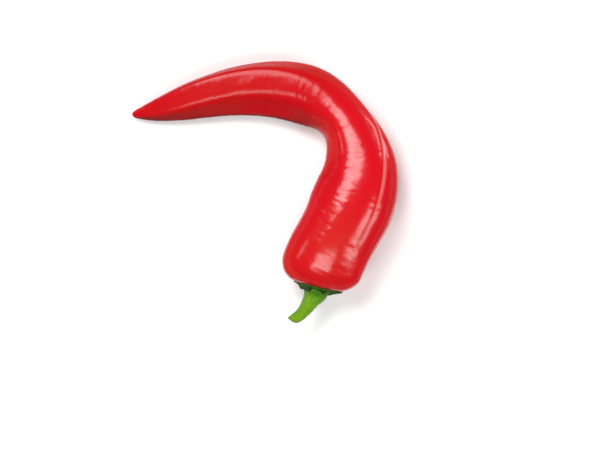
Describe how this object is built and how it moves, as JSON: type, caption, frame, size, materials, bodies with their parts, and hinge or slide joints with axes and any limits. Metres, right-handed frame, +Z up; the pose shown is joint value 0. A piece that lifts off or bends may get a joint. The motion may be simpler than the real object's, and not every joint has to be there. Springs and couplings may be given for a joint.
{
  "type": "sweet pointed pepper",
  "caption": "Whole red pointed sweet pepper lying on its side, hooked towards its tip, with its green calyx and a short cut stalk.",
  "frame": {"origin": "on the surface that the pepper lies on, below the middle of its outline seen from above", "axes": "+Z up from that surface; +Y from the stalk towards the arm with the tip; the tip points towards -X"},
  "size_m": [0.1334, 0.1322, 0.0348],
  "materials": {
    "fruit_skin": "gloss",
    "calyx_green": "satin",
    "stalk_green": "satin"
  },
  "bodies": {
    "root": {"fruit": "fruit_skin", "calyx": "calyx_green", "stalk": "stalk_green"}
  },
  "joints": []
}
